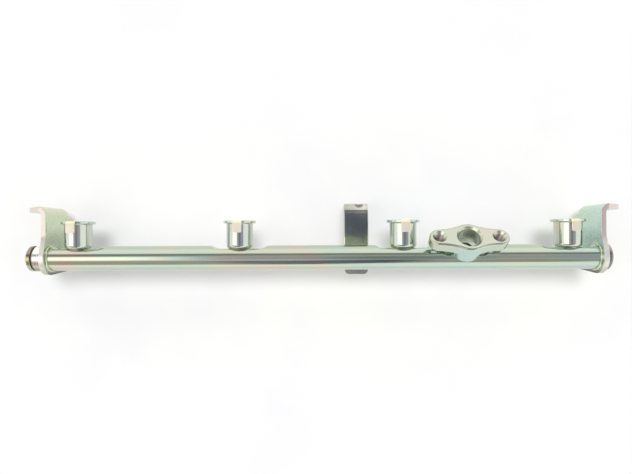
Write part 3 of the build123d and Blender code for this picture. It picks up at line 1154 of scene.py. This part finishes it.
# -------- inlet flange
@dataclass(frozen=True)
class InletFlange:
    """The forged two-bolt flange on its boss, machined on top, along X from the tube's axis."""

    face: float = 17.0
    thick: float = 6.3
    width: float = 16.4
    bolts: float = 29.0
    ear: float = 4.9
    waist: float = 30.0
    boss: float = 14.2
    edge: float = 1.1
    bore: float = 10.5
    bore_depth: float = 8.6
    bore_round: float = 0.2  # how far its smooth skin runs out over the chamfer's round
    chamfer: float = 1.0
    step_cone: float = 0.6
    tuck_in: float = 0.02  # keeps the stem's end inside the plate
    tap_out: float = 1.0
    thread: Thread = Thread(5.0, 0.8, TAPPED_ZINC)
    drill: float = 4.2
    countersink: float = 1.35

    def outline(self) -> list[Point]:
        """A round middle, two ears and a hollow that touches both on each side.

        Returns:
            The outline's points in order.
        """
        half, middle = self.bolts / 2, self.width / 2
        to_middle, to_ear = middle + self.waist, self.ear + self.waist
        across = (to_middle ** 2 - to_ear ** 2 + half ** 2) / (2 * half)
        up = math.sqrt(to_middle ** 2 - across ** 2)
        lean = math.degrees(math.atan2(up, across))
        ear_lean = math.degrees(math.atan2(up, across - half))
        quarter = [
            *arc((half, 0), self.ear, 0, ear_lean, 6),
            *arc((across, up), self.waist, ear_lean - 180, lean - 180, 5)[1:],
            *arc((0, 0), middle, lean, 90, 5)[1:],
        ]
        upper = quarter + [(-x, y) for x, y in quarter[-2::-1]]
        return upper + [(x, -y) for x, y in upper[-2:0:-1]]

    def body(self) -> Piece:
        """The forging before it is machined.

        Returns:
            The plate and its boss as one solid.
        """
        plate = blank("flange", self.outline(), [], self.thick, self.edge)
        # The blank's X runs across the rail's length and its Z is the flange's axis.
        bent(plate, lambda x, y, z: (z + self.face, x, y))
        under = self.face - self.thick
        inside = under + self.thick / 2
        stem = lathe("boss", [
            (INLET_SEAT, 0), (INLET_SEAT, self.boss / 2, 0.3), (under, self.width / 2, 2.4),
            (inside, self.width / 2 - self.tuck_in), (inside, 0),
        ], 96, closed=False)
        return fitted(cleaned(plate), stem, Fit.JOIN)

    def bore_cutter(self) -> Piece:
        """What the step drill and the chamfer tool take out of the middle.

        Returns:
            The cutter.
        """
        out, radius, step = 0.5, self.bore / 2, self.face - self.bore_depth
        low, top = INLET_SEAT - 2 * out, self.face + out
        return lathe("bore", [
            (low, 0), (low, INLET_FEED / 2), (step - self.step_cone, INLET_FEED / 2),
            (step, radius, 0.4), (self.face - self.chamfer, radius, 0.5),
            (top, radius + self.chamfer + out), (top, 0),
        ], 96, closed=False)

    def build(self) -> Piece:
        """Forge, bore and tap the flange.

        Returns:
            The finished flange.
        """
        flange = fitted(self.body(), self.bore_cutter(), Fit.CUT)
        hole_end = self.face - self.countersink
        for side in (-1, 1):
            shift = side * self.bolts / 2
            tap = self.thread.bar(self.face - self.thick - self.tap_out, self.face + self.tap_out)
            mouth = rod("countersink", hole_end, self.face + OVERRUN, self.drill / 2,
                        self.countersink + OVERRUN, 64)
            for cutter in (tap, mouth):
                cleaned(cutter)
                bent(cutter, lambda x, y, z: (x, y + shift, z))
                flange = fitted(flange, cutter, Fit.CUT)
        bored = CutSkin(BORE_ZINC, lambda at, _: (
            at.x < self.face - NEAR and math.hypot(at.y, at.z) < self.bore / 2 + self.bore_round))
        tapped = CutSkin(TAPPED_ZINC, lambda at, _: (
            at.x < hole_end + NEAR
            and math.hypot(abs(at.y) - self.bolts / 2, at.z) < self.thread.major / 2 + NEAR))
        return finished(flange, "forged_flange", FORGED_ZINC, "flange", ["inlet_flange"],
                        turned_up(INLET_X, INLET_TURN), [bored, tapped])


# -------- end brackets
@dataclass(frozen=True)
class EndBracket:
    """The L-shaped bracket at one end, stamped, pierced and folded from one sheet."""

    sheet: float = 2.7
    front: float = 5.5
    rear: float = 26.0
    tail: float = 7.0
    shoulder: float = 11.0
    lobe: float = 8.6
    shoulder_round: float = 9.0
    rear_round: float = 7.6
    tail_round: float = 4.0
    bend: float = 4.4
    foot_face: float = 26.8
    foot_rear: float = 17.4
    foot_tip: float = 2.4
    tip_round: float = 1.5
    ear: float = 7.4
    ear_reach: float = 6.2
    hole: float = 6.6
    relief: float = 1.0
    edge: float = 0.3
    leaning: float = 0.6   # an edge's normal has less than this along the sheet's
    facing: float = 0.8    # and round the fold more than this across the sheet

    def tangent(self, corner: Point, side: int) -> float:
        """Angle at which a line from a corner touches the lobe round the tube.

        Args:
            corner: Where the line starts.
            side: 1 or -1, for the touch ahead of the corner or behind it.

        Returns:
            The angle in degrees.
        """
        away = math.degrees(math.acos(self.lobe / math.hypot(*corner)))
        return math.degrees(math.atan2(corner[1], corner[0])) + side * away

    def outline(self, fold: Fold, ear_at: Point) -> list[Point]:
        """The blank's outline: along the sheet, then across it.

        Args:
            fold: The sheet's fold.
            ear_at: The middle of the bolt's ear.

        Returns:
            The outline.
        """
        start = self.tangent((self.shoulder, self.front), 1)
        stop = self.tangent((-self.tail, -self.rear), -1) + 360
        tip_at = (fold.unrolled(self.sheet + self.foot_tip) - self.tip_round,
                  self.front - self.tip_round)
        reach = Vector((tip_at[0] - ear_at[0], tip_at[1] - ear_at[1]))
        lean = math.degrees(math.acos((self.ear - self.tip_round) / reach.length))
        touch = math.degrees(math.atan2(reach.y, reach.x)) - lean
        return rounded([
            (-self.tail, -self.rear, self.tail_round),
            (fold.start, -self.rear, self.rear_round),
            (fold.start, -self.foot_rear, self.relief),
            *arc(ear_at, self.ear, -90, touch, 7),
            *arc(tip_at, self.tip_round, touch, 90, 15),
            (self.shoulder, self.front, self.shoulder_round),
            *arc((0, 0), self.lobe, start, stop, 6),
        ], step=7)

    def build(self, side: int, end: str) -> Piece:
        """Make the bracket of one end.

        Args:
            side: 1 for the +X end, -1 for the other.
            end: That end's name.

        Returns:
            The finished bracket.
        """
        fold = Fold(self.foot_face - self.bend, self.bend, self.sheet, facets=18)
        ear_at = (fold.unrolled(self.sheet + self.ear_reach), self.ear - self.foot_rear)
        holes = [arc((0, 0), TUBE_RADIUS, 0, 354, 6), arc(ear_at, self.hole / 2, 0, 350, 10)]
        flat = blank("bracket", self.outline(fold, ear_at), holes, self.sheet, self.edge)
        made = bent(fold.made(flat), lambda x, y, z: (side * (BRACKET_GAP + x), y, z))

        def sheared(at: Vector, normal: Vector) -> bool:
            """Whether a face lies across the sheet's thickness.

            Args:
                at: The face's middle.
                normal: Its normal.

            Returns:
                True for a sheared face.
            """
            depth, height = abs(at.x) - BRACKET_GAP - self.bend, at.y - fold.start
            if height < 0:
                return abs(normal.x) < self.leaning
            if depth > 0:
                return abs(normal.y) < self.leaning
            return abs(normal.z) > self.facing

        return finished(cleaned(made), f"folded_bracket_{end}", SHEET_ZINC, "bracket",
                        [f"end_bracket_{end}"], cuts=[CutSkin(SHEAR_ZINC, sheared)])


# -------- clip bracket
@dataclass(frozen=True)
class ClipBracket:
    """The strip behind the tube, folded back at the top, with a dart pressed in its fold."""

    x: float = 18.4
    width: float = 12.6
    sheet: float = 2.0
    top: float = 28.3
    tail: float = 9.3
    bend: float = 5.5
    foot: float = 16.0
    corner: float = 2.5
    hole: float = 5.5
    hole_margin: float = 6.0
    dart_offset: float = 1.6
    dart_radius: float = 2.7
    dart_depth: float = 1.1
    dart_turn: float = 62.0
    dart_blend: float = 0.25
    dart_cuts: int = 23
    edge: float = 0.3

    def build(self) -> Piece:
        """Stamp, fold and dart the strip.

        Returns:
            The finished clip bracket.
        """
        fold = Fold(self.top - self.bend, self.bend, self.sheet, facets=30)
        half, end, tail = self.width / 2, fold.unrolled(self.foot), -self.tail
        outline = rounded([
            (tail, -half, self.corner), (end, -half, self.corner),
            (end, half, self.corner), (tail, half, self.corner),
        ], step=7)
        hole = arc((end - self.hole_margin, 0), self.hole / 2, 0, 350, 10)
        flat = blank("clip", outline, [hole], self.sheet, self.edge)
        rim = math.sqrt(self.dart_radius ** 2 - (self.dart_radius - self.dart_depth) ** 2)
        reach, angle = rim + self.dart_blend, math.radians(self.dart_turn)
        middle = self.dart_offset
        sliced(flat, 1, np.linspace(middle - reach, middle + reach, self.dart_cuts))

        def pressed(depth: Row, height: Row, across: Row) -> Sequence[Row]:
            """Push the sheet in along a ball, towards the fold's centre.

            Args:
                depth: How deep the points lie behind the sheet's outer face.
                height: How far up they are.
                across: Where they lie across the strip.

            Returns:
                The same three, moved.
            """
            in_x, in_y = depth - self.bend, height - fold.start
            along = (self.bend - self.sheet / 2) * (np.arctan2(in_y, -in_x) - angle)
            off = np.hypot(along, across - middle)
            share = np.clip(1 - (off / reach) ** 2, 0, 1)
            push = self.dart_depth * share * (np.abs(along) < reach)
            length = np.maximum(np.hypot(in_x, in_y), 1e-6)
            return depth - in_x / length * push, height - in_y / length * push, across

        made = bent(fold.made(flat), pressed)
        bent(made, lambda x, y, z: (self.x + z, y, -TUBE_RADIUS - x))
        dart = Vector((self.x + middle, fold.start + self.bend * math.sin(angle),
                       -TUBE_RADIUS - self.bend * (1 - math.cos(angle))))
        punched = CutSkin(PUNCHED_ZINC, lambda at, _: (at - dart).length < rim)
        return finished(cleaned(made), "folded_clip_strip", STRIP_ZINC, "clip_bracket",
                        ["clip_bracket"], cuts=[punched])


# -------- closed ends
@dataclass(frozen=True)
class ClosedEnds:
    """The turned boss, sealing ring and screw plug at -X, and the turned cap at +X."""

    spigot: float = 2.6
    spigot_radius: float = TUBE_RADIUS - TUBE_WALL
    boss_step: float = 0.3
    boss_length: float = 4.5
    collar_step: float = 0.65
    collar_length: float = 1.6
    collar_ramp: float = 0.15
    ring: float = 12.0
    ring_thick: float = 1.0
    thread: Thread = Thread(8.0, 1.0, PLUG_ZINC)
    shank: float = 7.35
    head: float = 13.2
    head_thick: float = 2.4
    head_edge: float = 0.7
    hex_flats: float = 4.0
    hex_depth: float = 1.9
    hex_mouth: float = 0.35
    hex_inset: float = 0.3
    hex_edge: float = 0.05
    key_out: float = 1.0
    shank_in: float = 0.3
    reach: float = 5.0
    cap_step: float = 0.7
    cap_lead: float = 0.35
    cap_length: float = 3.0
    cap_edge: float = 1.4

    def boss(self) -> Piece:
        """The threaded boss with its collar against the plate.

        Returns:
            The boss.
        """
        bore, outer = self.shank / 2, TUBE_RADIUS + self.boss_step
        collar = TUBE_RADIUS + self.collar_step
        return lathe("boss", [
            (-self.spigot, bore, 0.1), (-self.spigot, self.spigot_radius, 0.2),
            (0, self.spigot_radius), (0, collar, 0.25),
            (self.collar_length, collar, 0.3),
            (self.collar_length + self.collar_ramp, outer, 0.15),
            (self.boss_length, outer, 0.45), (self.boss_length, bore, 0.4),
        ])

    def washer(self) -> Piece:
        """The crushed sealing ring.

        Returns:
            The ring.
        """
        start, stop = self.boss_length, self.boss_length + self.ring_thick
        bore, rim = self.shank / 2, self.ring / 2
        return lathe("ring", [
            (start, bore, 0.15), (start, rim, 0.35), (stop, rim, 0.35), (stop, bore, 0.15),
        ])

    def plug(self) -> Piece:
        """The screw plug: chamfered head, key socket and threaded shank.

        Returns:
            The plug.
        """
        under = self.boss_length + self.ring_thick
        top, head = under + self.head_thick, self.head / 2
        body = lathe("plug", [
            (under, 0), (under, head, 0.25), (top - self.head_edge, head, 0.25),
            (top, head - self.head_edge, 0.25), (top, 0),
        ], closed=False)
        thread = self.thread.bar(under - self.reach, under + self.shank_in)
        scale = self.shank / self.thread.major
        bent(thread, lambda x, y, z: (x, y * scale, z * scale))
        body = fitted(body, cleaned(thread), Fit.JOIN)
        corner = self.hex_flats / math.sqrt(3)
        hexagon = arc((0, 0), corner, 0, 300, 60)
        key = blank("key", hexagon, [], self.hex_depth + self.key_out, self.hex_edge)
        bent(key, lambda x, y, z: (top + self.key_out + z, x, y))
        body = fitted(body, cleaned(key), Fit.CUT)
        mouth = rod("mouth", top - self.hex_mouth, top + OVERRUN, corner - self.hex_inset,
                    self.hex_mouth + OVERRUN, 64)
        return fitted(body, mouth, Fit.CUT)

    def cap(self) -> Piece:
        """The turned cap that closes the +X mouth.

        Returns:
            The cap.
        """
        radius = TUBE_RADIUS + self.cap_step
        return lathe("cap", [
            (-self.spigot, 0), (-self.spigot, self.spigot_radius, 0.3), (0, self.spigot_radius),
            (0, radius - self.cap_lead), (self.cap_lead, radius, 0.1),
            (self.cap_length, radius, self.cap_edge),
            (self.cap_length, 0),
        ], closed=False)

    def build(self) -> None:
        """Close both ends."""
        outwards = Matrix.Translation((TUBE_END, 0, 0))
        mouth = Matrix.Rotation(math.pi, 4, "Z") @ outwards
        finished(self.boss(), "turned_boss", TURNED_ZINC, "fitting", ["end_boss"], mouth)
        finished(self.washer(), "pressed_ring", RING_METAL, "sealing_ring", ["sealing_ring"], mouth)
        finished(self.plug(), "turned_plug", PLUG_ZINC, "plug", ["screw_plug"], mouth)
        finished(self.cap(), "turned_cap", TURNED_ZINC, "fitting", ["end_cap"], outwards)


# -------- studio
@dataclass(frozen=True)
class SkyWindow:
    """A soft-edged oblong in the surroundings, seen from the rail towards the zenith.

    Its sides are slopes off the zenith: 1 is 45 degrees down towards +X or +Y.
    """

    name: str
    x: Point
    y: Point
    colour: str
    soft: Point            # half the width of its edges across X and across Y
    glow: float = 1.0

    @property
    def radiance(self) -> tuple[float, ...]:
        """Linear colour, brightened by the glow."""
        return (*(part * self.glow for part in linear(self.colour)[:3]), 1.0)


@dataclass(frozen=True)
class Studio:
    """Pale floor, soft light and the camera looking down on the rail."""

    camera_at: Corner = (1.8313, 11.2334, 263.2044)
    camera_turn: Corner = (-0.0026761, 0.0171473, -0.0049096)
    lens: float = 29.108
    floor_colour: str = "#EAEAE8"
    floor_shade: str = "#E4E4E6"
    floor_half: float = 2.5
    floor_lift: float = 0.1
    floor_cloud_mm: float = 90.0
    key_from: Corner = (0.03, 0.40, 1.30)
    key_angle: float = 21.0
    key_power: float = 1.6
    level: float = 1.5
    ambient: str = "#E8E9E9"
    lowest: float = 0.02
    windows_end: Point = (1.8, 2.5)
    windows: tuple[SkyWindow, ...] = (
        SkyWindow("overhead", (-0.30, 0.80), (-0.30, 0.30), "#9A98A4", (0.14, 0.06)),
        SkyWindow("overhead_dark", (0.06, 0.28), (-0.30, 0.24), "#787A7E", (0.10, 0.08)),
        SkyWindow("far_edge", (-9.0, 9.0), (0.32, 0.92), "#7A7A78", (0.10, 0.18)),
        SkyWindow("near_mid", (-0.32, 0.10), (-2.10, -0.40), "#6A6E7C", (0.10, 0.20)),
        SkyWindow("near_side", (0.03, 0.27), (-1.35, -0.34), "#3F4450", (0.10, 0.12)),
        SkyWindow("near_right", (0.27, 0.75), (-1.15, -0.30), "#928F84", (0.10, 0.14)),
        SkyWindow("near_left", (-9.0, -0.28), (-2.00, -0.40), "#A39A90", (0.08, 0.20)),
        SkyWindow("overhead_small", (0.02, 0.11), (-0.11, 0.09), "#666A70", (0.03, 0.03)),
        SkyWindow("window_light", (-1.40, -0.34), (-0.30, 0.20), "#FFFCF4", (0.12, 0.09), 1.35),
    )

    def floor(self) -> None:
        """The paper floor, faintly cloudy, which the rail lies on."""
        half = self.floor_half
        mesh = bpy.data.meshes.new("floor")
        mesh.from_pydata([(-half, -half, 0), (half, -half, 0), (half, half, 0), (-half, half, 0)],
                         [], [(0, 1, 2, 3)])
        made = bpy.data.materials.new("matt_paper")
        add = cleared(made)
        spot = add("ShaderNodeTexCoord").outputs["Object"]
        clouds = add(NOISE, {
            "Vector": spot, "Scale": 1 / (self.floor_cloud_mm * MM), "Detail": 4.0,
            "Roughness": 0.55,
        })
        ramp = add("ShaderNodeValToRGB", [clouds])
        low, high = ramp.color_ramp.elements
        low.position, high.position = 0.35, 0.62
        low.color, high.color = linear(self.floor_shade), linear(self.floor_colour)
        paper = add("ShaderNodeBsdfPrincipled", {
            "Base Color": ramp, "Roughness": 0.85, "Specular IOR Level": 0.1,
        })
        # Seen straight on, mirrored or through glass, the paper is lifted towards white and
        # still keeps a share of its shadow.
        path = add("ShaderNodeLightPath").outputs
        seen = add(MATH, [path["Is Camera Ray"], path["Is Glossy Ray"]], "ADD")
        shown = add(MATH, [seen, path["Is Transmission Ray"]], "ADD", use_clamp=True)
        share = add(MATH, [shown, self.floor_lift], "MULTIPLY")
        white = add("ShaderNodeEmission", {"Color": ramp, "Strength": 1.0})
        shader = add("ShaderNodeMixShader", [share, paper, white])
        add("ShaderNodeOutputMaterial", {"Surface": shader})
        mesh.materials.append(made)
        link("floor", mesh)

    def world(self) -> None:
        """Pale surroundings with the dark and bright oblongs that the plating mirrors."""
        world = bpy.data.worlds.new("studio")
        bpy.context.scene.world = world
        add = cleared(world)
        way = add("ShaderNodeTexCoord").outputs["Generated"]
        x, y, z = add("ShaderNodeSeparateXYZ", [way]).outputs
        # Held just above the horizon, so that no slope is endless.
        height = add(MATH, [z, self.lowest], "MAXIMUM")
        slopes = [add(MATH, [part, height], "DIVIDE") for part in (x, y)]
        plain = linear(self.ambient)
        colour: object = plain
        for window in self.windows:
            masks = []
            for slope, (low, high), soft in zip(slopes, (window.x, window.y), window.soft):
                off = add(MATH, [slope, (low + high) / 2], "SUBTRACT")
                size = add(MATH, [off], "ABSOLUTE")
                half = (high - low) / 2
                masks.append(add(MAP_RANGE, {
                    "Value": size, "From Min": half - soft, "From Max": half + soft,
                    "To Min": 1.0, "To Max": 0.0,
                }, interpolation_type="SMOOTHSTEP"))
            both = add(MATH, masks, "MULTIPLY")
            colour = add("ShaderNodeMix", {0: both, 6: colour, 7: window.radiance},
                         data_type="RGBA", label=window.name).outputs[2]
        # Towards the horizon there is only the plain backdrop.
        lean = add("ShaderNodeCombineXYZ", slopes)
        off_zenith = add(VECTOR_MATH, [lean], "LENGTH").outputs["Value"]
        start, stop = self.windows_end
        low_down = add(MAP_RANGE, {"Value": off_zenith, "From Min": start, "From Max": stop},
                       interpolation_type="SMOOTHSTEP")
        backdrop = add("ShaderNodeMix", {0: low_down, 6: colour, 7: plain},
                       data_type="RGBA").outputs[2]
        light = add("ShaderNodeBackground", {"Color": backdrop, "Strength": self.level})
        add("ShaderNodeOutputWorld", {"Surface": light})

    def key(self) -> None:
        """A soft far lamp above the rail, which the plating does not mirror."""
        data = bpy.data.lights.new("key", "SUN")
        data.angle = math.radians(self.key_angle)
        data.energy = self.key_power
        lamp = link("key", data)
        lamp.visible_glossy = False
        lamp.rotation_euler = Vector(self.key_from).to_track_quat("Z", "Y").to_euler()

    def camera(self) -> None:
        """The camera straight above the rail."""
        data = bpy.data.cameras.new("camera")
        data.lens = self.lens
        data.sensor_width = 36.0
        data.clip_start = 0.01
        camera = link("camera", data)
        camera.location = RAIL.to_part() @ Vector(self.camera_at)
        turn = Matrix.Identity(3)
        for angle, axis in zip(self.camera_turn, "XYZ"):
            turn = turn @ Matrix.Rotation(angle, 3, axis)
        camera.rotation_euler = turn.to_euler()
        bpy.context.scene.camera = camera

    def build(self) -> None:
        """Set the whole studio up."""
        self.floor()
        self.world()
        self.key()
        self.camera()
        bpy.context.scene.view_settings.view_transform = "Standard"


def main() -> None:
    """Build the rail piece by piece, then the studio round it."""
    logging.basicConfig(level=logging.INFO, format="%(name)s: %(message)s")
    tube = RailTube()
    tube.build()
    for number, x in enumerate(tube.cup_stations(), 1):
        InjectorCup().build(number, x)
    InletFlange().build()
    for side, end in ((-1, "left"), (1, "right")):
        EndBracket().build(side, end)
    ClipBracket().build()
    ClosedEnds().build()
    braze_joints(tube.cup_stations())
    Studio().build()


if __name__ == "__main__":
    main()
